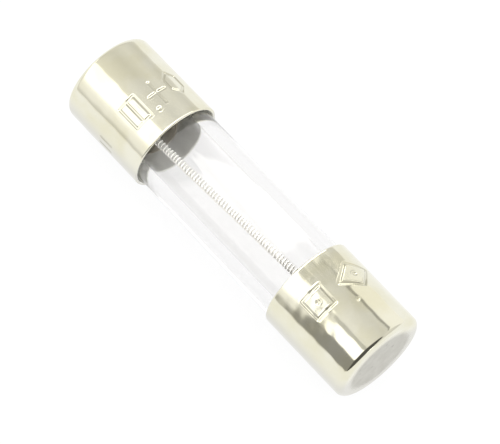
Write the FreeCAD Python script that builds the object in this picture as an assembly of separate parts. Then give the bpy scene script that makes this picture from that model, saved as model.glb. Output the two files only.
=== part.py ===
"""Cartridge fuse, 5 x 20 mm, time-lag type: a glass tube, two plated end caps and a wound element.

Units are millimetres. The origin is the fuse's centre, +X runs along its axis to end cap b and
+Z is up. An angle about the axis starts at +Z and turns towards -Y.
"""
import FreeCAD
import Part
import math
import os

# ---- Driving dimensions ----
FUSE_LENGTH = 20.0
CAP_DIAMETER = 5.1
CAP_LENGTH = 5.25
CAP_WALL = 0.15
CAP_FLOOR = 0.2
CAP_END_ROUND = 0.35
CAP_RIM_ROUND = 0.05

TUBE_DIAMETER = 4.6
TUBE_WALL = 0.7
TUBE_LENGTH = 19.0
TUBE_END_ROUND = 0.15

CEMENT_LENGTH = 3.0
SOLDER_CREEP = 0.1  # how far the solder runs back over the tube's outside
SOLDER_PLUG = 0.4  # height of the solder inside the tube, at the glass
SOLDER_DOME = 0.4  # how much higher it stands on the axis

WIRE_DIAMETER = 0.1
CORE_DIAMETER = 0.26
WINDING_PITCH = 0.19
WIRE_GAP = 0.002  # between the wire and the core it is wound on
ELEMENT_END_A = FreeCAD.Vector(-9.3, -0.42, -0.75)
ELEMENT_END_B = FreeCAD.Vector(9.3, 0.01, 0.63)
SOCKET_GAP = 0.01  # between the winding and the solder round its end
SOCKET_OVERRUN = 0.03  # how far the socket in the solder runs past the element's end

# ---- Stamped marks: generic signs pressed into the caps' skin ----
MARK_DEPTH = 0.05
STROKE = 0.12
# Half a sign's size, along the cap and across it.
TALL_SIGN = (0.67, 0.48)
TWO_BARS = (0.36, 0.25)
SQUARE = 0.58
LOZENGE = (0.73, 1.05)
DOT_RADIUS = 0.1
PIP_RADIUS = 0.06
# A sign's place: its angle about the axis in degrees, and its distance from the cap's mouth.
SIGNS_A = {"two_bars": (84, 2.25), "fuse_sign": (22, 1.79), "dot": (0, 1.09),
           "plus": (-11, 1.85), "hexagon": (-38, 1.95)}
SIGNS_B = {"square": (21, 1.83), "pip": (-12, 2.97), "lozenge": (-33, 1.8)}

# ---- Worked-out sizes ----
HALF_LENGTH = FUSE_LENGTH / 2
CAP_RADIUS = CAP_DIAMETER / 2
CAP_BORE = CAP_RADIUS - CAP_WALL
TUBE_RADIUS = TUBE_DIAMETER / 2
TUBE_BORE = TUBE_RADIUS - TUBE_WALL
TUBE_END = TUBE_LENGTH / 2
FLOOR_INSIDE = HALF_LENGTH - CAP_FLOOR
MOUTH = HALF_LENGTH - CAP_LENGTH
CREEP_END = TUBE_END - TUBE_END_ROUND - SOLDER_CREEP
WIRE_RADIUS = WIRE_DIAMETER / 2
CORE_RADIUS = CORE_DIAMETER / 2
COIL_RADIUS = CORE_RADIUS + WIRE_GAP + WIRE_RADIUS  # of the wire's centre line
WINDING_RADIUS = COIL_RADIUS + WIRE_RADIUS
ELEMENT_LENGTH = ELEMENT_END_A.distanceToPoint(ELEMENT_END_B)
SIGN_TOP = CAP_RADIUS + 2 * MARK_DEPTH  # a sign's cutter stands a little out of the cap

ORIGIN = FreeCAD.Vector(0, 0, 0)
ALONG = FreeCAD.Vector(1, 0, 0)
UP = FreeCAD.Vector(0, 0, 1)


# ---- Helpers ----
def cylinder(radius, start, end):
    """A solid cylinder on the fuse's axis, from x = start to x = end."""
    return Part.makeCylinder(radius, end - start, ALONG * start, ALONG)


def circles_at(shape, x, radius):
    """The shape's circular edges about the fuse's axis with this place and radius."""
    close = 1e-6
    return [edge for edge in shape.Edges if isinstance(edge.Curve, Part.Circle)
            and abs(edge.Curve.Center.x - x) < close and abs(edge.Curve.Radius - radius) < close]


def mirrored(shape):
    """The same piece at the fuse's other end."""
    return shape.mirror(ORIGIN, ALONG)


# ---- Stamped signs. Each is drawn flat about its own middle, x along the cap and y across it,
# ---- and raised into cutters that stand on the fuse's axis.
def raised(wire):
    """A closed flat outline raised through the cap's skin."""
    return Part.Face(wire).extrude(UP * SIGN_TOP)


def bar(start, end):
    """A straight stroke with round ends between two points (x, y)."""
    first, last = FreeCAD.Vector(*start, 0), FreeCAD.Vector(*end, 0)
    ahead = (last - first).normalize() * (STROKE / 2)
    side = UP.cross(ahead)
    return raised(Part.Wire([
        Part.LineSegment(first + side, last + side).toShape(),
        Part.Arc(last + side, last + ahead, last - side).toShape(),
        Part.LineSegment(last - side, first - side).toShape(),
        Part.Arc(first - side, first - ahead, first + side).toShape(),
    ]))


def closed_line(corners):
    """Strokes that join the corners in turn and return to the first."""
    return [bar(start, end) for start, end in zip(corners, corners[1:] + corners[:1])]


def spot(radius):
    return raised(Part.Wire(Part.makeCircle(radius)))


def dot():
    return [spot(DOT_RADIUS)]


def pip():
    return [spot(PIP_RADIUS)]


def two_bars():
    """Two short strokes side by side, along the cap."""
    x, y = TWO_BARS
    return [bar((-x, -y), (x, -y)), bar((-x, y), (x, y))]


def square():
    """A square with a dot in it."""
    near, far = -SQUARE, SQUARE
    return closed_line([(near, near), (far, near), (far, far), (near, far)]) + dot()


def fuse_sign():
    """A box with a line through it, as a fuse is drawn in a wiring plan."""
    x, y = TALL_SIGN
    return closed_line([(-x, -y), (x, -y), (x, y), (-x, y)]) + [bar((-x, 0), (x, 0))]


def plus():
    x, y = TALL_SIGN
    return [bar((-x, 0), (x, 0)), bar((0, -y), (0, y))]


def hexagon():
    """A six-sided line, longer along the cap than across it."""
    x, y = TALL_SIGN
    angles = [math.radians(60 * corner) for corner in range(6)]
    return closed_line([(x * math.cos(a), y * math.sin(a)) for a in angles])


def lozenge():
    """A square on its corner, with a dot in it."""
    x, y = LOZENGE
    return closed_line([(-x, 0), (0, -y), (x, 0), (0, y)]) + dot()


SIGNS = {"two_bars": two_bars, "fuse_sign": fuse_sign, "dot": dot, "pip": pip, "plus": plus,
         "hexagon": hexagon, "square": square, "lozenge": lozenge}


def stamped(cap, places, side):
    """A cap with signs pressed in to an even depth; side is 1 for the cap at +X, -1 at -X."""
    skin = cylinder(SIGN_TOP, -HALF_LENGTH, HALF_LENGTH).cut(
        cylinder(CAP_RADIUS - MARK_DEPTH, -HALF_LENGTH, HALF_LENGTH))
    for sign, (angle, from_mouth) in places.items():
        for stroke in SIGNS[sign]():
            stroke.rotate(ORIGIN, ALONG, angle)
            stroke.translate(ALONG * side * (MOUTH + from_mouth))
            cap = cap.cut(stroke.common(skin))
    return cap


# ---- The pieces of one end, at +X ----
def end_cap():
    """A drawn cup with its mouth at x = MOUTH and its closed end at x = HALF_LENGTH."""
    outside = cylinder(CAP_RADIUS, MOUTH, HALF_LENGTH)
    outside = outside.makeFillet(CAP_END_ROUND, circles_at(outside, HALF_LENGTH, CAP_RADIUS))
    outside = outside.makeFillet(CAP_RIM_ROUND, circles_at(outside, MOUTH, CAP_RADIUS))
    inside = cylinder(CAP_BORE, MOUTH - CAP_FLOOR, FLOOR_INSIDE)
    inside = inside.makeFillet(CAP_END_ROUND - CAP_WALL, circles_at(inside, FLOOR_INSIDE, CAP_BORE))
    return outside.cut(inside)


def cement_ring():
    """The bond between the tube's outside and the cap's bore, near the closed end."""
    start = CREEP_END - CEMENT_LENGTH
    return cylinder(CAP_BORE, start, CREEP_END).cut(cylinder(TUBE_RADIUS, start, CREEP_END))


def solder_fill(cap, tube, socket):
    """Solder between the cap's floor and the tube, with a dome inside the tube."""
    plug_end = TUBE_END - SOLDER_PLUG
    dome_top = plug_end - SOLDER_DOME
    dome_radius = (TUBE_BORE ** 2 + SOLDER_DOME ** 2) / (2 * SOLDER_DOME)
    dome = Part.makeSphere(dome_radius, ALONG * (dome_top + dome_radius))
    dome = dome.common(cylinder(TUBE_BORE, dome_top, plug_end))
    plug = cylinder(TUBE_BORE, plug_end, FLOOR_INSIDE)
    layer = cylinder(CAP_BORE, CREEP_END, FLOOR_INSIDE)
    return layer.fuse([plug, dome]).cut([cap, tube, socket]).removeSplitter()


# ---- The pieces in the middle ----
def glass_tube():
    """A plain tube with fire-polished ends."""
    tube = cylinder(TUBE_RADIUS, -TUBE_END, TUBE_END).cut(cylinder(TUBE_BORE, -TUBE_END, TUBE_END))
    edges = [edge for x in (-TUBE_END, TUBE_END) for radius in (TUBE_RADIUS, TUBE_BORE)
             for edge in circles_at(tube, x, radius)]
    return tube.makeFillet(TUBE_END_ROUND, edges)


def on_element_line(shape):
    """Moves a piece built up +Z from the origin so that it starts at the element's end a."""
    turn = FreeCAD.Rotation(UP, ELEMENT_END_B - ELEMENT_END_A)
    shape.Placement = FreeCAD.Placement(ELEMENT_END_A, turn)
    return shape


def element_socket():
    """The space the winding takes, a little wider than it and longer at both ends."""
    radius = WINDING_RADIUS + SOCKET_GAP
    length = ELEMENT_LENGTH + 2 * SOCKET_OVERRUN
    return on_element_line(Part.makeCylinder(radius, length, UP * -SOCKET_OVERRUN))


def element_core():
    """The straight insulating core that the wire is wound on."""
    return on_element_line(Part.makeCylinder(CORE_RADIUS, ELEMENT_LENGTH))


def element_wire():
    """The fuse wire: one open helix from end to end of the core.

    Its skin is one short sweep repeated along the helix and sewn up, which keeps it true to size.
    """
    turns_per_sweep = 2
    rise = turns_per_sweep * WINDING_PITCH
    sweeps = int((ELEMENT_LENGTH - WIRE_DIAMETER) / rise)
    foot = UP * ((ELEMENT_LENGTH - sweeps * rise) / 2)

    turn_length = 2 * math.pi * COIL_RADIUS
    begin = FreeCAD.Vector(COIL_RADIUS, 0, 0) + foot
    heading = FreeCAD.Vector(0, turn_length, WINDING_PITCH)
    section = Part.Wire(Part.makeCircle(WIRE_RADIUS, begin, heading))
    helix = Part.makeHelix(WINDING_PITCH, rise, COIL_RADIUS)
    helix.translate(foot)
    sweep = Part.BRepOffsetAPI.MakePipeShell(Part.Wire(helix.Edges))
    sweep.setBiNormalMode(UP)
    sweep.add(section, False, False)
    sweep.build()

    faces = [Part.Face(section), Part.Face(section).translated(UP * sweeps * rise)]
    for number in range(sweeps):
        faces += sweep.shape().translated(UP * number * rise).Faces
    skin = Part.makeShell(faces)
    skin.sewShape()
    wire = Part.Solid(skin)

    turns = sweeps * turns_per_sweep
    run = turns * math.hypot(turn_length, WINDING_PITCH)
    print(f"winding: {turns} turns, {run:.1f} mm of wire, volume {wire.Volume:.4f},"
          f" section times length {math.pi * WIRE_RADIUS ** 2 * run:.4f}")
    return on_element_line(wire)


plain_cap = end_cap()
tube = glass_tube()
socket = element_socket()
PIECES = {
    "glass_tube": tube,
    "end_cap_a": stamped(mirrored(plain_cap), SIGNS_A, -1),
    "end_cap_b": stamped(plain_cap, SIGNS_B, 1),
    "cement_ring_a": mirrored(cement_ring()),
    "cement_ring_b": cement_ring(),
    "solder_fill_a": mirrored(solder_fill(plain_cap, tube, mirrored(socket))),
    "solder_fill_b": solder_fill(plain_cap, tube, socket),
    "element_core": element_core(),
    "element_wire": element_wire(),
}

os.makedirs("parts", exist_ok=True)
for node, shape in PIECES.items():
    print(f"{node}: valid {shape.isValid()}, solids {len(shape.Solids)}, volume {shape.Volume:.4f}")
    shape.exportStep(f"parts/{node}.step")
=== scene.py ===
"""The looks of a 5 x 20 mm glass cartridge fuse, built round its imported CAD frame.

Shapes are worked out in millimetres in the frame's own axes (+X along the fuse to cap b, +Z up)
and turned into metres when a mesh is made. An angle about the axis starts at +Z and turns towards
-Y, as it does for the stamped signs in the CAD.
"""
import math

import bpy
import numpy as np
from mathutils import Matrix, Vector


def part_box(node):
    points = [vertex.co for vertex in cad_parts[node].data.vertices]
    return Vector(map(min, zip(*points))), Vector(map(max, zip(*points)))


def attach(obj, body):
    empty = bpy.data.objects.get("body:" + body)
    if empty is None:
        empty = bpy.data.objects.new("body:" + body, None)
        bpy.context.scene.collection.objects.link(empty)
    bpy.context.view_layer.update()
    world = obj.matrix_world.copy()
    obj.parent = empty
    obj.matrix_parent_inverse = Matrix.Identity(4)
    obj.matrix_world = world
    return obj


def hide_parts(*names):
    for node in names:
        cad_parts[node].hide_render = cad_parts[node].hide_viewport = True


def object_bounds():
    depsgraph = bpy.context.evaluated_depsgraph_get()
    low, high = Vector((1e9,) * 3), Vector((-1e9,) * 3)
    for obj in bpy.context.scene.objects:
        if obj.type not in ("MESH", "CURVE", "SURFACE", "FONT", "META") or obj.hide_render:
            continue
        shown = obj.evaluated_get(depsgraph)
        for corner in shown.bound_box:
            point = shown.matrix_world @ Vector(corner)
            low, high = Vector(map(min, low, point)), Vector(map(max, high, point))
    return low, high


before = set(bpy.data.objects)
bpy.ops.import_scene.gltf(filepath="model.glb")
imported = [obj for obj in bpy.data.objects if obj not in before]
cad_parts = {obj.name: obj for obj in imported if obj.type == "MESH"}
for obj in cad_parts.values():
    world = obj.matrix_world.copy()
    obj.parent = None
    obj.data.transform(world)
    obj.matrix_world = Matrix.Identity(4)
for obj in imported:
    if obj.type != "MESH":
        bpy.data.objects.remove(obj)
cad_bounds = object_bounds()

MM = 0.001
TURN = 2 * math.pi


# ---- Sizes from the frame, in millimetres ----
def node_box(node):
    """A CAD node's lowest and highest corners."""
    low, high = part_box(node)
    return low / MM, high / MM


cap_low, cap_high = node_box("end_cap_b")
MOUTH, CAP_END, CAP_RADIUS = cap_low.x, cap_high.x, cap_high.z
tube_high = node_box("glass_tube")[1]
TUBE_END, TUBE_RADIUS = tube_high.x, tube_high.z
solder_low, solder_high = node_box("solder_fill_b")
SOLDER_TOP, CAP_FLOOR, CAP_BORE = solder_low.x, solder_high.x, solder_high.z
cement_low, cement_high = node_box("cement_ring_b")
CEMENT_FRONT, CEMENT_BACK = cement_low.x, cement_high.x
FLOOR_Z = cad_bounds[0][2] / MM

# ---- Sizes that the boxes don't give, as in the CAD unless a comment says otherwise ----
CAP_END_ROUND = 0.35
TUBE_WALL = 0.7
TUBE_END_ROUND = 0.15
TUBE_BORE = TUBE_RADIUS - TUBE_WALL
SOLDER_DOME = 0.4
WIRE_RADIUS = 0.05
CORE_RADIUS = 0.13
COIL_RADIUS = CORE_RADIUS + WIRE_RADIUS + 0.002
WINDING_PITCH = 0.19
ELEMENT_BOW = (0, 0.035, 0)  # at mid-length, as (x, y, z); the CAD's element is straight

# ---- Stamped signs, as in the CAD but a little shallower: bars as pairs of points and dots as
# ---- radii, all about the sign's middle, x along the cap and y across it ----
MARK_DEPTH = 0.038
STROKE = 0.12
DOT_RADIUS = 0.1
PIP_RADIUS = 0.06
TALL_X, TALL_Y = 0.67, 0.48
TWO_BARS_X, TWO_BARS_Y = 0.36, 0.25
SQUARE = 0.58
LOZENGE_X, LOZENGE_Y = 0.73, 1.05


def closed_line(corners):
    return list(zip(corners, corners[1:] + corners[:1]))


def diamond(x, y):
    return [(-x, 0), (0, -y), (x, 0), (0, y)]


def rectangle(x, y):
    return [(-x, -y), (x, -y), (x, y), (-x, y)]


CORNER_ANGLES = [math.radians(60 * corner) for corner in range(6)]
HEXAGON = [(TALL_X * math.cos(a), TALL_Y * math.sin(a)) for a in CORNER_ANGLES]
MIDDLE_LINE = ((-TALL_X, 0), (TALL_X, 0))
SIGNS = {
    "two_bars": {"bars": [((-TWO_BARS_X, y), (TWO_BARS_X, y)) for y in (-TWO_BARS_Y, TWO_BARS_Y)]},
    "fuse_sign": {"bars": closed_line(rectangle(TALL_X, TALL_Y)) + [MIDDLE_LINE]},
    "dot": {"dots": [DOT_RADIUS]},
    "pip": {"dots": [PIP_RADIUS]},
    "plus": {"bars": [MIDDLE_LINE, ((0, -TALL_Y), (0, TALL_Y))]},
    "hexagon": {"bars": closed_line(HEXAGON)},
    "square": {"bars": closed_line(rectangle(SQUARE, SQUARE)), "dots": [DOT_RADIUS]},
    "lozenge": {"bars": closed_line(diamond(LOZENGE_X, LOZENGE_Y)), "dots": [DOT_RADIUS]},
}
# Each sign's angle about the axis in degrees, and its distance from the cap's mouth.
SIGNS_A = {"two_bars": (84, 2.25), "fuse_sign": (22, 1.79), "dot": (0, 1.09),
           "plus": (-11, 1.85), "hexagon": (-38, 1.95)}
SIGNS_B = {"square": (21, 1.83), "pip": (-12, 2.97), "lozenge": (-33, 1.8)}


# ---- Mesh helpers ----
def smooth_step(value):
    value = np.clip(value, 0, 1)
    return value * value * (3 - 2 * value)


def ripples(points, wavelength, seed, count=28):
    """A smooth random height with a spread of about 1 and features of about one wavelength."""
    draw = np.random.default_rng(seed)
    ways = draw.normal(size=(3, count))
    ways *= TURN / wavelength * draw.uniform(0.7, 1.4, count) / np.linalg.norm(ways, axis=0)
    return np.sin(points @ ways + draw.uniform(0, TURN, count)).sum(-1) / math.sqrt(count / 2)


def arc_points(centre, radius, start, end, steps):
    """Points (x, r) on an arc between two angles in degrees, both ends included."""
    angles = np.radians(np.linspace(start, end, steps + 1))
    return [(centre[0] + radius * math.cos(a), centre[1] + radius * math.sin(a)) for a in angles]


def straight(start, end, step):
    """Points between two places (x, r), without the first, about one step apart."""
    count = max(1, round(math.dist(start, end) / step))
    return [tuple(np.array(start) + (np.array(end) - start) * i / count) for i in range(1, count + 1)]


def around(profile, angles):
    """Rings of points about the fuse's axis: one ring for each (x, r) of the profile."""
    x, r = np.array(profile, float).T
    return np.stack([np.broadcast_to(x[:, None], (len(x), len(angles))),
                     -r[:, None] * np.sin(angles), r[:, None] * np.cos(angles)], axis=-1)


def even_angles(count):
    return np.arange(count) * TURN / count


def skin(name, rings, loop=False, inside_out=False):
    """A closed smooth mesh through rings of points, each ring a closed row.

    A loop joins the last ring to the first. Otherwise the first and last rings close on their
    middles.
    """
    rows, count, _ = rings.shape
    points = rings.reshape(-1, 3)
    here = np.arange(count)
    there = (here + 1) % count
    joined = range(rows) if loop else range(rows - 1)
    faces = [np.stack([row * count + here, row * count + there,
                       (row + 1) % rows * count + there, (row + 1) % rows * count + here], axis=-1)
             for row in joined]
    faces = np.concatenate(faces).tolist()
    if not loop:
        first, last = len(points), len(points) + 1
        points = np.vstack([points, rings[0].mean(0), rings[-1].mean(0)])
        faces += [(there[i], here[i], first) for i in range(count)]
        bottom = (rows - 1) * count
        faces += [(bottom + here[i], bottom + there[i], last) for i in range(count)]
    if inside_out:
        faces = [face[::-1] for face in faces]
    mesh = bpy.data.meshes.new(name)
    mesh.from_pydata((points * MM).tolist(), [], faces)
    mesh.validate()
    mesh.shade_smooth()
    piece = bpy.data.objects.new(name, mesh)
    bpy.context.scene.collection.objects.link(piece)
    return piece


def finish_piece(piece, material, node):
    """Gives a piece its material and its place in the frame."""
    piece.data.materials.append(material)
    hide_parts(node)
    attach(piece, "root")


# ---- Material helpers ----
def add(tree, kind, values=None, **settings):
    """Adds a shader node. A value that is a socket is linked, and any other is set."""
    made = tree.nodes.new(kind)
    for name, value in settings.items():
        setattr(made, name, value)
    for key, value in (values or {}).items():
        if isinstance(value, bpy.types.NodeSocket):
            tree.links.new(value, made.inputs[key])
        else:
            made.inputs[key].default_value = value
    return made


def new_material(name):
    """A material with a bare Principled shader: its tree and that shader."""
    material = bpy.data.materials.new(name)
    material.use_nodes = True
    return material, material.node_tree, material.node_tree.nodes["Principled BSDF"]


def object_place(tree):
    return add(tree, "ShaderNodeTexCoord").outputs["Object"]


def noise(tree, place, size_mm, detail=3.0, stretch=(1, 1, 1)):
    """A noise value whose features are about size_mm across, times the stretch."""
    scaled = add(tree, "ShaderNodeMapping", {"Vector": place, "Scale": [1 / s for s in stretch]})
    made = add(tree, "ShaderNodeTexNoise", {"Vector": scaled.outputs["Vector"],
                                            "Scale": 1 / (size_mm * MM), "Detail": detail})
    return made.outputs["Fac"]


def to_range(tree, value, low, high, new_low, new_high):
    """Maps a value from one range to another, smoothly and held at the ends."""
    made = add(tree, "ShaderNodeMapRange", {"Value": value, "From Min": low, "From Max": high,
                                            "To Min": new_low, "To Max": new_high},
               interpolation_type="SMOOTHSTEP")
    return made.outputs["Result"]


def combine(tree, a, b, operation="ADD"):
    """Two values joined by one sum: added, unless another operation is named."""
    return add(tree, "ShaderNodeMath", {0: a, 1: b}, operation=operation).outputs["Value"]


def mix_colour(tree, factor, a, b):
    made = add(tree, "ShaderNodeMix", data_type="RGBA")
    for key, value in ((0, factor), (6, a), (7, b)):
        if isinstance(value, bpy.types.NodeSocket):
            tree.links.new(value, made.inputs[key])
        else:
            made.inputs[key].default_value = value if key == 0 else (*value, 1)
    return made.outputs[2]


def bump(tree, shader, height, depth_mm, strength=1.0):
    made = add(tree, "ShaderNodeBump", {"Height": height, "Distance": depth_mm * MM,
                                        "Strength": strength})
    tree.links.new(made.outputs["Normal"], shader.inputs["Normal"])


# ---- Materials ----
def cap_plating():
    """Nickel over brass: bright on the side with fine draw lines, dull and pitted on the end."""
    material, tree, shader = new_material("cap_plating")
    place = object_place(tree)
    parts = add(tree, "ShaderNodeSeparateXYZ", {"Vector": place}).outputs
    from_middle = add(tree, "ShaderNodeMath", {0: parts["X"]}, operation="ABSOLUTE").outputs["Value"]
    flat_place = add(tree, "ShaderNodeVectorMath", {0: place, 1: [0, 1, 1]}, operation="MULTIPLY")
    from_axis = add(tree, "ShaderNodeVectorMath", {0: flat_place.outputs["Vector"]},
                    operation="LENGTH").outputs["Value"]
    # Where a place lies: inside the cup, or on the flat of the end face.
    before_floor = to_range(tree, from_middle, (CAP_FLOOR - 0.05) * MM, CAP_FLOOR * MM, 1, 0)
    in_bore = to_range(tree, from_axis, (CAP_BORE + 0.02) * MM, (CAP_BORE + 0.07) * MM, 1, 0)
    inside = combine(tree, before_floor, in_bore, "MULTIPLY")
    at_end = to_range(tree, from_middle, (CAP_END - 0.03) * MM, (CAP_END - 0.01) * MM, 0, 1)
    flat_of_end = to_range(tree, from_axis, 1.62 * MM, 2.1 * MM, 1, 0)
    on_end = combine(tree, at_end, flat_of_end, "MULTIPLY")

    # Stains, draw lines along the fuse, and pits with crooked edges.
    stain = noise(tree, place, 1.6, 4)
    lines = noise(tree, place, 0.05, 2, stretch=(40, 1, 1))
    crooked = add(tree, "ShaderNodeTexNoise", {"Vector": place, "Scale": 1 / (0.15 * MM)})
    bent = add(tree, "ShaderNodeVectorMath", {0: crooked.outputs["Color"], 1: [0.12 * MM] * 3},
               operation="MULTIPLY").outputs["Vector"]
    bent = add(tree, "ShaderNodeVectorMath", {0: place, 1: bent}, operation="ADD").outputs["Vector"]
    pits = add(tree, "ShaderNodeTexVoronoi", {"Vector": bent, "Scale": 1 / (0.8 * MM)})
    pit = to_range(tree, pits.outputs["Distance"], 0.05, 0.16, 1, 0)
    pit_on_end = combine(tree, pit, on_end, "MULTIPLY")

    # Colours laid over each other, with the grime and painted shade in the stamped signs last.
    groove_grime_and_shade = add(tree, "ShaderNodeAttribute", attribute_name="groove_grime_and_shade").outputs["Fac"]
    colour = mix_colour(tree, to_range(tree, stain, 0.35, 0.7, 0, 1),
                        (0.825, 0.81, 0.69), (0.78, 0.755, 0.59))
    # Painted shade: the plating turns darker and greyer towards its underside, where it mirrors the shaded
    # floor.
    underside_shade = to_range(tree, parts["Z"], 0, 1.1 * MM, 1, 0)
    colour = mix_colour(tree, underside_shade, colour, (0.69, 0.68, 0.62))
    mottle = mix_colour(tree, to_range(tree, noise(tree, place, 0.5, 5), 0.35, 0.65, 0, 1),
                        (0.58, 0.57, 0.52), (0.63, 0.62, 0.57))
    colour = mix_colour(tree, on_end, colour, mottle)
    # A pale dull coat inside the cup, stronger towards -Y: the dullness is a finish, and its pale colour,
    # strongest towards -Y, is painted light on the lower inner wall.
    low = combine(tree, parts["Y"], combine(tree, noise(tree, place, 0.8, 3), 0.8 * MM, "MULTIPLY"))
    pale_coat_and_painted_light = combine(tree, to_range(tree, low, -0.9 * MM, 0.9 * MM, 1, 0.5), inside, "MULTIPLY")
    colour = mix_colour(tree, pale_coat_and_painted_light, colour, (0.94, 0.94, 0.87))
    colour = mix_colour(tree, pit_on_end, colour, (0.45, 0.44, 0.4))
    # Painted shade: the stamped grooves darken, part grime and part the shade that falls on their walls.
    colour = mix_colour(tree, groove_grime_and_shade, colour, (0.3, 0.28, 0.2))
    tree.links.new(colour, shader.inputs["Base Color"])
    tree.links.new(combine(tree, 1, pale_coat_and_painted_light, "SUBTRACT"), shader.inputs["Metallic"])
    dull = combine(tree, inside, on_end, "MAXIMUM")
    side_rough = to_range(tree, lines, 0.3, 0.7, 0.08, 0.11)
    rough = add(tree, "ShaderNodeMix", {0: dull, 2: side_rough, 3: 0.5}, data_type="FLOAT")
    tree.links.new(rough.outputs[0], shader.inputs["Roughness"])
    height = combine(tree, combine(tree, lines, 0.05, "MULTIPLY"), pit_on_end, "SUBTRACT")
    bump(tree, shader, height, 0.006, 0.5)
    return material


def glass():
    """Clear glass with the faintest uneven haze."""
    material, tree, shader = new_material("glass")
    place = object_place(tree)
    haze = to_range(tree, noise(tree, place, 1.2, 4), 0.4, 0.75, 0, 0.03)
    tree.links.new(haze, shader.inputs["Roughness"])
    tint = mix_colour(tree, noise(tree, place, 3.0), (0.938, 0.935, 0.933), (0.917, 0.913, 0.909))
    tree.links.new(tint, shader.inputs["Base Color"])
    shader.inputs["Transmission Weight"].default_value = 1
    shader.inputs["IOR"].default_value = 1.5
    return material


def solder():
    """Dull soft solder with a grainy frosted skin."""
    material, tree, shader = new_material("solder")
    place = object_place(tree)
    grain = noise(tree, place, 0.08, 5)
    colour = mix_colour(tree, grain, (0.46, 0.46, 0.46), (0.68, 0.68, 0.67))
    tree.links.new(colour, shader.inputs["Base Color"])
    shader.inputs["Metallic"].default_value = 1
    tree.links.new(to_range(tree, grain, 0.3, 0.7, 0.28, 0.5), shader.inputs["Roughness"])
    bump(tree, shader, grain, 0.01, 0.6)
    return material


def cement():
    """Brittle tan cement, matt and porous."""
    material, tree, shader = new_material("cement")
    place = object_place(tree)
    pores = noise(tree, place, 0.06, 6)
    colour = mix_colour(tree, pores, (0.32, 0.27, 0.18), (0.6, 0.54, 0.42))
    tree.links.new(colour, shader.inputs["Base Color"])
    tree.links.new(to_range(tree, pores, 0.3, 0.7, 0.6, 0.9), shader.inputs["Roughness"])
    bump(tree, shader, pores, 0.02, 0.8)
    return material


def core_fibre():
    """Off-white twisted fibre."""
    material, tree, shader = new_material("core_fibre")
    place = object_place(tree)
    strands = noise(tree, place, 0.02, 3, stretch=(12, 1, 1))
    colour = mix_colour(tree, strands, (0.82, 0.81, 0.77), (0.97, 0.96, 0.93))
    tree.links.new(colour, shader.inputs["Base Color"])
    tree.links.new(to_range(tree, strands, 0.3, 0.7, 0.7, 0.9), shader.inputs["Roughness"])
    shader.inputs["Sheen Weight"].default_value = 0.2
    bump(tree, shader, strands, 0.008, 0.8)
    return material


def fuse_wire():
    """Tinned wire, bright with duller turns."""
    material, tree, shader = new_material("fuse_wire")
    place = object_place(tree)
    dull = noise(tree, place, 0.3, 4)
    colour = mix_colour(tree, dull, (0.96, 0.95, 0.91), (0.86, 0.84, 0.78))
    tree.links.new(colour, shader.inputs["Base Color"])
    shader.inputs["Metallic"].default_value = 1
    tree.links.new(to_range(tree, dull, 0.3, 0.7, 0.15, 0.35), shader.inputs["Roughness"])
    bump(tree, shader, noise(tree, place, 0.02, 2), 0.003, 0.4)
    return material


# ---- End caps ----
def stroke_distance(along, across, sign):
    """Distance from points about a sign's middle to the nearest edge of its strokes, below zero inside."""
    nearest = np.full(along.shape, np.inf)
    for (x0, y0), (x1, y1) in sign.get("bars", []):
        run = (x1 - x0) ** 2 + (y1 - y0) ** 2
        share = np.clip(((along - x0) * (x1 - x0) + (across - y0) * (y1 - y0)) / run, 0, 1)
        away = np.hypot(along - x0 - share * (x1 - x0), across - y0 - share * (y1 - y0))
        nearest = np.minimum(nearest, away - STROKE / 2)
    for radius in sign.get("dots", []):
        nearest = np.minimum(nearest, np.hypot(along, across) - radius)
    return nearest


def stamping(from_mouth, angles, places):
    """How far the stamped signs push the cap's skin in at each place on its side, and their grime with
    painted shade, strongest on the sloping groove walls.
    """
    nearest = np.full((len(from_mouth), len(angles)), np.inf)
    for name, (degrees, sign_from_mouth) in places.items():
        turn = (angles - math.radians(degrees) + math.pi) % TURN - math.pi
        along = np.broadcast_to((from_mouth - sign_from_mouth)[:, None], nearest.shape)
        across = np.broadcast_to(CAP_RADIUS * turn[None, :], nearest.shape)
        nearest = np.minimum(nearest, stroke_distance(along, across, SIGNS[name]))
    soft = 0.042  # half the width of a stroke's sloping edge
    groove = smooth_step((soft - nearest) / (2 * soft))
    lip_height, lip_away, lip_width = 0.004, 0.05, 0.03
    lip = lip_height * np.exp(-((nearest - lip_away) / lip_width) ** 2)
    slope = 4 * groove * (1 - groove)
    spots = around([(x, CAP_RADIUS) for x in from_mouth], angles)
    struck = 0.92 + 0.08 * np.clip(ripples(spots, 1.1, 71), -1.5, 1)  # how well the stamp bit there
    return struck * (MARK_DEPTH * groove - lip), struck * np.maximum(slope, 0.35 * groove)


def cap_angles():
    """Angles about the axis, close together where the signs are."""
    front_start, front_end = math.radians(-72), math.radians(102)
    front = np.linspace(front_start, front_end, 300, endpoint=False)
    back = np.linspace(front_end, front_start + TURN, 120, endpoint=False)
    return np.concatenate([front, back])


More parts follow.
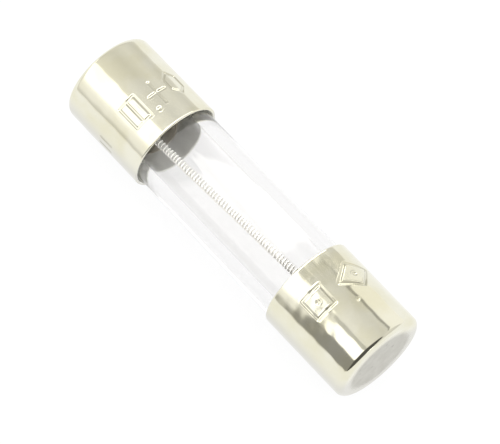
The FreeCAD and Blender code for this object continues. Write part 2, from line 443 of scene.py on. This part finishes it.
def end_cap(name, side, places, material, seed):
    """A drawn cup: outside from its end to its mouth, round the rim and back inside to its floor."""
    angles = cap_angles()
    bore_round = CAP_END_ROUND - (CAP_RADIUS - CAP_BORE)
    side_start = CAP_END - CAP_END_ROUND
    signs_end = MOUTH + 3.5  # the mesh is finer from here to the mouth
    end_flat = CAP_RADIUS - CAP_END_ROUND
    rim = (CAP_RADIUS - CAP_BORE) / 2 - 0.01
    end_step, side_step, sign_step, bore_step, floor_step = 0.07, 0.12, 0.031, 0.2, 0.3
    hub = 0.04  # the radius of the small rings that skin() closes at both ends of the profile

    outside = [(CAP_END, hub)] + straight((CAP_END, hub), (CAP_END, end_flat), end_step)
    outside += arc_points((side_start, end_flat), CAP_END_ROUND, 0, 90, 14)[1:]
    outside += straight((side_start, CAP_RADIUS), (signs_end, CAP_RADIUS), side_step)
    outside += straight((signs_end, CAP_RADIUS), (MOUTH + rim, CAP_RADIUS), sign_step)
    rim_arc = arc_points((MOUTH + rim, CAP_RADIUS - rim), rim, 90, 180, 6)[1:]
    rim_arc += arc_points((MOUTH + rim, CAP_BORE + rim), rim, 180, 270, 6)
    inside = straight((MOUTH + rim, CAP_BORE), (CAP_FLOOR - bore_round, CAP_BORE), bore_step)
    inside += arc_points((CAP_FLOOR - bore_round, CAP_BORE - bore_round), bore_round, 90, 0, 6)[1:]
    inside += straight((CAP_FLOOR, CAP_BORE - bore_round), (CAP_FLOOR, hub), floor_step)

    profile = outside + rim_arc + inside
    rings = around(profile, angles)
    x, r = np.array(profile).T
    pushed_in = np.zeros(rings.shape[:2])
    on_side = (np.arange(len(profile)) < len(outside)) & (x < side_start)
    groove_grime_and_shade = pushed_in.copy()
    pushed_in[on_side], groove_grime_and_shade[on_side] = stamping(x[on_side] - MOUTH, angles, places)
    broad_wave, fine_wave, dent_depth = 0.0016, 0.001, 0.003
    wave = broad_wave * ripples(rings * [0.5, 1, 1], 2.2, seed)
    wave = wave + fine_wave * ripples(rings, 0.7, seed + 1)
    pushed_in += np.where((r > CAP_RADIUS - 0.01)[:, None], wave, 0)
    out = rings.copy()
    out[..., 0] = 0
    out /= np.maximum(np.linalg.norm(out, axis=-1, keepdims=True), 1e-9)
    rings = rings - out * pushed_in[..., None]
    on_end = (np.arange(len(profile)) < len(outside)) & (x > CAP_END - 0.02)
    dent = dent_depth * ripples(rings[on_end], 0.9, seed + 2)
    rings[on_end, :, 0] -= np.abs(dent) * smooth_step((end_flat - r[on_end]) / 0.3)[:, None]
    rings[..., 0] *= side
    piece = skin(name + "_cup", rings, inside_out=side < 0)
    # Groove darkening for the plating: grime together with painted shade in the stamped signs.
    layer = piece.data.attributes.new("groove_grime_and_shade", "FLOAT", "POINT")
    grime_and_shade_strength, hubs = 0.5, [0, 0]
    values = np.append(grime_and_shade_strength * groove_grime_and_shade.ravel(), hubs)
    layer.data.foreach_set("value", values.astype(np.float32))
    finish_piece(piece, material, name)


# ---- Glass tube ----
def glass_tube(material):
    """A tube with fire-polished ends, its walls a touch uneven as drawn glass is."""
    angles = even_angles(360)
    end, radius = TUBE_END - TUBE_END_ROUND, TUBE_END_ROUND
    corner = (end, TUBE_RADIUS - radius)
    outer = [(-x, r) for x, r in arc_points(corner, radius, 0, 90, 6)]
    outer += straight((-end, TUBE_RADIUS), (end, TUBE_RADIUS), 0.3)
    outer += arc_points(corner, radius, 90, 0, 6)[1:]
    inner_corner = (end, TUBE_BORE + radius)
    inner = arc_points(inner_corner, radius, 0, -90, 6)
    inner += straight((end, TUBE_BORE), (-end, TUBE_BORE), 0.3)
    inner += [(-x, r) for x, r in arc_points(inner_corner, radius, -90, 0, 6)][1:]
    rings = around(outer + inner, angles)
    unevenness = 0.0007
    uneven = 1 + unevenness * ripples(rings * [0.3, 1, 1], 2.5, 5)
    rings[..., 1:] *= uneven[..., None]
    piece = skin("glass_tube_clear", rings, loop=True)
    finish_piece(piece, material, "glass_tube")


# ---- Inside pieces ----
def cement_ring(name, side, material, seed):
    """The bond between glass and cap, with the uneven front edge that squeezed cement has."""
    angles = even_angles(240)
    thick = (CAP_BORE - TUBE_RADIUS) / 2 - 0.004
    middle = (CAP_BORE + TUBE_RADIUS) / 2
    profile = straight((CEMENT_FRONT, middle - thick), (CEMENT_BACK, middle - thick), 0.2)
    profile += straight((CEMENT_BACK, middle + thick), (CEMENT_FRONT, middle + thick), 0.2)
    profile += arc_points((CEMENT_FRONT, middle), thick, 90, 270, 6)
    rings = around(profile, angles)
    edge = ripples(around([(0, 1.0)], angles), 1.4, seed)
    edge_wave, edge_fade = 0.16, 1.2
    near_front = smooth_step(1 - (rings[..., 0] - CEMENT_FRONT) / edge_fade)
    rings[..., 0] += edge_wave * edge * near_front
    rings[..., 0] *= side
    piece = skin(name + "_bead", rings, loop=True, inside_out=side > 0)
    finish_piece(piece, material, name)


def solder_fill(name, side, element_at, material, seed):
    """Solder over the cap's floor with a wavy dome inside the tube, drawn up round the element."""
    angles = even_angles(180)
    plug_end = SOLDER_TOP + SOLDER_DOME
    dome = [(SOLDER_TOP + SOLDER_DOME * (r / TUBE_BORE) ** 2, r)
            for r in np.linspace(0.03, TUBE_BORE - 0.01, 30)]
    back = straight((plug_end, TUBE_BORE - 0.01), (TUBE_END, TUBE_BORE - 0.01), 0.08)
    back += straight((TUBE_END + 0.01, TUBE_BORE), (TUBE_END + 0.01, TUBE_RADIUS), 0.1)
    back += straight((TUBE_END, TUBE_RADIUS), (CEMENT_BACK + 0.01, TUBE_RADIUS + 0.01), 0.08)
    back += straight((CEMENT_BACK + 0.01, CAP_BORE - 0.01), (CAP_FLOOR - 0.25, CAP_BORE - 0.01), 0.1)
    back += straight((CAP_FLOOR - 0.01, CAP_BORE - 0.25), (CAP_FLOOR - 0.01, 0.03), 0.2)
    rings = around(dome + back, angles)
    from_element = np.linalg.norm(rings[..., 1:] - np.array(element_at), axis=-1)
    inside_tube = np.array([x < plug_end for x, _ in dome + back])[:, None]
    wave_height, collar_height, collar_radius, collar_fade, wall_fade = 0.02, 0.18, 0.25, 0.12, 0.2
    collar = collar_height * np.exp(-np.maximum(from_element - collar_radius, 0) / collar_fade)
    height = wave_height * ripples(rings, 0.8, seed) + collar
    from_wall = TUBE_BORE - np.hypot(rings[..., 1], rings[..., 2])
    rings[..., 0] -= np.where(inside_tube, height, 0) * smooth_step(from_wall / wall_fade)
    rings[..., 0] *= side
    piece = skin(name + "_dome", rings, inside_out=side > 0)
    finish_piece(piece, material, name)


def element_line():
    """The element's two ends and its direction, from the CAD core's own points."""
    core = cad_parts["element_core"].data.vertices
    points = np.array([v.co for v in core]) / MM
    middle = (points.min(0) + points.max(0)) / 2
    direction = np.linalg.svd(points - middle)[2][0]
    direction *= np.sign(direction[0])
    reach = ((points - middle) @ direction).max()
    return middle - direction * reach, middle + direction * reach, direction


def cross_axes(direction):
    """Two unit vectors square to a direction and to each other."""
    first = np.cross(direction, [0, 1, 0])
    first /= np.linalg.norm(first)
    return first, np.cross(direction, first)


def element_place(along, start, end, direction):
    """Points on the element's line, which bows a little between its ends."""
    share = np.asarray(along)[..., None] / np.linalg.norm(end - start)
    bow = np.sin(math.pi * np.clip(share, 0, 1)) ** 2 * np.array(ELEMENT_BOW)
    return start + np.asarray(along)[..., None] * direction + bow


def element_wire(start, end, direction, material):
    """The fuse wire: an open helix whose pitch wanders a little, as a wound wire's does."""
    first, second = cross_axes(direction)
    length = np.linalg.norm(end - start) - 2 * WIRE_RADIUS
    turns = round(length / WINDING_PITCH)
    steps_per_turn, round_points = 36, 10
    turn = np.linspace(0, turns, turns * steps_per_turn + 1)
    wander = np.stack([turn, 0 * turn, 0 * turn], axis=-1)
    drift = 0.006 * ripples(wander, 2.3, 21) + 0.02 * ripples(wander, 9.0, 22)
    along = WIRE_RADIUS + turn * length / turns + drift * np.sin(np.pi * turn / turns) ** 0.5
    radius = COIL_RADIUS * (1 + 0.012 * ripples(wander, 3.0, 23))
    outward = np.cos(TURN * turn)[:, None] * first + np.sin(TURN * turn)[:, None] * second
    path = element_place(along, start, end, direction) + radius[:, None] * outward
    ahead = np.gradient(path, axis=0)
    ahead /= np.linalg.norm(ahead, axis=1, keepdims=True)
    side = np.cross(ahead, outward)
    around_wire = even_angles(round_points)
    rings = (path[:, None, :] + WIRE_RADIUS * (np.cos(around_wire)[None, :, None] * outward[:, None, :]
             + np.sin(around_wire)[None, :, None] * side[:, None, :]))
    piece = skin("element_winding", rings)
    finish_piece(piece, material, "element_wire")


def element_core(start, end, direction, material):
    """The core: three plies of fibre laid up in a long twist."""
    first, second = cross_axes(direction)
    length = np.linalg.norm(end - start)
    rows, count, plies, lay = 320, 60, 3, 1.3
    along = np.linspace(0, length, rows)[:, None]
    angle = even_angles(count)[None, :]
    lobe = np.abs(np.cos(plies / 2 * (angle - TURN * along / lay)))
    radius = CORE_RADIUS * (0.84 + 0.14 * lobe)
    outward = np.cos(angle)[..., None] * first + np.sin(angle)[..., None] * second
    rings = element_place(along, start, end, direction) + radius[..., None] * outward
    piece = skin("element_core_yarn", rings)
    finish_piece(piece, material, "element_core")


plating, bond, fill = cap_plating(), cement(), solder()
end_cap("end_cap_a", -1, SIGNS_A, plating, 11)
end_cap("end_cap_b", 1, SIGNS_B, plating, 31)
glass_tube(glass())
element_start, element_end, element_way = element_line()
cement_ring("cement_ring_a", -1, bond, 41)
cement_ring("cement_ring_b", 1, bond, 42)
solder_fill("solder_fill_a", -1, element_start[1:], fill, 51)
solder_fill("solder_fill_b", 1, element_end[1:], fill, 52)
element_wire(element_start, element_end, element_way, fuse_wire())
element_core(element_start, element_end, element_way, core_fibre())


# ---- Floor, light and camera ----
def floor():
    """A wide pale floor that glows a little, so that the shadow on it stays faint."""
    material, tree, shader = new_material("floor")
    shader.inputs["Base Color"].default_value = (0.07, 0.07, 0.07, 1)
    shader.inputs["Roughness"].default_value = 1
    shader.inputs["Specular IOR Level"].default_value = 0
    shader.inputs["Emission Color"].default_value = (1, 1, 1, 1)
    shader.inputs["Emission Strength"].default_value = 0.9
    half_side = 3000
    mesh = bpy.data.meshes.new("floor")
    mesh.from_pydata([(x * half_side * MM, y * half_side * MM, FLOOR_Z * MM)
                      for x, y in ((-1, -1), (1, -1), (1, 1), (-1, 1))], [], [(0, 1, 2, 3)])
    mesh.materials.append(material)
    made = bpy.data.objects.new("floor", mesh)
    bpy.context.scene.collection.objects.link(made)


# Light that the plating mirrors: angle about the fuse's axis from +Z towards +Y, and brightness.
TENT_RADIUS = 40
TENT_STOPS = [(-90, 1.0), (-88, 1.0), (-86.5, 0.7), (-84, 0.74), (-77, 1.0), (-68, 1.06), (-60, 1.2),
              (-54, 1.7), (-16, 1.7), (-13.5, 0.95), (-2, 0.9), (14, 0.82), (28, 0.76), (54, 0.85),
              (80, 0.74), (90, 0.85)]
# Patches laid over it in turn: brightness, softness along x and about it, how ragged its ends are,
# and its outline as angle, x from and x to.
PATCHES = [
    (0.62, 2.0, 10, 0, [(-96, -7.5, -2.5), (-76, -7.5, -2.5)]),
    (0.75, 2.0, 10, 0, [(24, -8.0, -2.5), (120, -8.0, -2.5)]),
    (0.65, 1.0, 4, 0, [(-12, -7.6, -4.8), (62, -7.6, -4.8)]),
    (1.08, 1.0, 2, 0, [(47, -5.0, 30), (120, -5.0, 30)]),
    (0.4, 1.0, 2, 0, [(41, -5.0, 30), (46.5, -5.0, 30)]),
    (0.93, 0.6, 2, 0, [(-24, -3.8, 300), (-11, -3.8, 300)]),
    (0.32, 0.3, 2, 0, [(-87.5, -5.4, 300), (-75, -4.9, 300), (-60, -4.4, 300), (-40, -4.1, 300),
                       (-18.5, -3.9, 300)]),
    (0.6, 0.3, 2, 0, [(-42, -3.8, 300), (-18.5, -3.8, 300)]),
    (4.5, 0.8, 3, 0.6, [(-21, -15.9, -8.0), (-14, -16.1, -8.0), (0, -16.4, -8.0), (21, -16.3, -8.0),
                        (37, -15.5, -8.0), (46, -14.9, -8.0), (55, -14.1, -8.0), (64, -13.4, -8.0),
                        (70, -12.5, -8.0)]),
    (1.7, 0.3, 2, 0.1, [(-54, -2.3, 30), (-51, -2.8, 30), (-47, -3.1, 30), (-40, -3.33, 30),
                        (-33, -3.1, 30), (-29, -2.8, 30), (-26, -2.3, 30)]),
    (0.1, 6.0, 3, 0, [(-93, 28, 60), (-80, 28, 200), (-50, 28, 400), (-16, 34, 400), (9, 45, 400),
                      (25, 50, 320), (33, 58, 200), (42, 70, 100)]),
]
TENT_TINT = np.array([1.0, 0.985, 0.94])


def window(value, low, high, soft):
    return smooth_step((value - low) / soft + 0.5) * smooth_step((high - value) / soft + 0.5)


def tent_level(x, angle):
    """The tent's brightness at a distance along the fuse and an angle about it."""
    level = np.interp(angle, *zip(*TENT_STOPS))
    place = np.stack([x, angle * TENT_RADIUS * TURN / 360, 0 * x], axis=-1)
    rag = 0.5 * ripples(place, 9.0, 61)
    for brightness, soft_x, soft_angle, ragged, outline in PATCHES:
        angles, starts, ends = zip(*outline)
        share = window(x, np.interp(angle, angles, starts) + ragged * rag,
                       np.interp(angle, angles, ends), soft_x)
        share *= window(angle, angles[0], angles[-1], soft_angle)
        level = level * (1 - share) + brightness * share
    return level


def light_tent():
    """A half-round tent over the fuse, seen only in reflections."""
    half_length = 400
    xs = np.concatenate([np.linspace(-half_length, -45, 30), np.arange(-44, 44, 0.25),
                         np.arange(45, 200), np.linspace(201, half_length, 20)])
    degrees = np.arange(-90, 90.5, 0.5)
    x, angle = np.meshgrid(xs, degrees, indexing="ij")
    turn = np.radians(angle)
    points = np.stack([x, TENT_RADIUS * np.sin(turn), TENT_RADIUS * np.cos(turn)], axis=-1)
    rows, count = x.shape
    index = np.arange(rows * count).reshape(rows, count)
    faces = np.stack([index[:-1, :-1], index[1:, :-1], index[1:, 1:], index[:-1, 1:]], axis=-1)
    mesh = bpy.data.meshes.new("light_tent")
    mesh.from_pydata((points.reshape(-1, 3) * MM).tolist(), [], faces.reshape(-1, 4).tolist())
    colours = np.ones((rows * count, 4))
    colours[:, :3] = tent_level(x, angle).reshape(-1, 1) * TENT_TINT
    layer = mesh.color_attributes.new("light", "FLOAT_COLOR", "POINT")
    layer.data.foreach_set("color", colours.astype(np.float32).ravel())

    material = bpy.data.materials.new("light_tent")
    material.use_nodes = True
    tree = material.node_tree
    tree.nodes.clear()
    glow = add(tree, "ShaderNodeEmission", {
        "Color": add(tree, "ShaderNodeVertexColor", layer_name="light").outputs["Color"]})
    add(tree, "ShaderNodeOutputMaterial", {"Surface": glow.outputs["Emission"]})
    mesh.materials.append(material)
    tent = bpy.data.objects.new("light_tent", mesh)
    tent.visible_camera = tent.visible_diffuse = tent.visible_shadow = False
    tent.visible_transmission = False
    bpy.context.scene.collection.objects.link(tent)


def sky():
    world = bpy.data.worlds.new("sky")
    bpy.context.scene.world = world
    world.use_nodes = True
    back = world.node_tree.nodes["Background"]
    back.inputs["Color"].default_value = (1, 1, 1, 1)
    back.inputs["Strength"].default_value = 2.2


def camera():
    """Looks down on the fuse from beyond cap b, from 49 degrees round and 66 degrees up."""
    azimuth, elevation, distance, lens = math.radians(48.87), math.radians(65.6), 134.1, 201.2
    back = Vector((math.sin(azimuth) * math.cos(elevation), -math.cos(azimuth) * math.cos(elevation),
                   math.sin(elevation)))
    right = Vector((math.cos(azimuth), math.sin(azimuth), 0))
    up = back.cross(right)
    aim = right * 0.48 - up * 0.37
    made = bpy.data.objects.new("camera", bpy.data.cameras.new("camera"))
    made.data.lens = lens
    made.data.clip_start = MM
    made.matrix_world = Matrix.Translation((aim + back * distance) * MM) @ Matrix(
        (right, up, back)).transposed().to_4x4()
    bpy.context.scene.collection.objects.link(made)
    bpy.context.scene.camera = made


floor()
light_tent()
sky()
camera()
scene = bpy.context.scene
scene.view_settings.view_transform = "Standard"
scene.cycles.max_bounces = 24
scene.cycles.transmission_bounces = 16
scene.cycles.glossy_bounces = 8
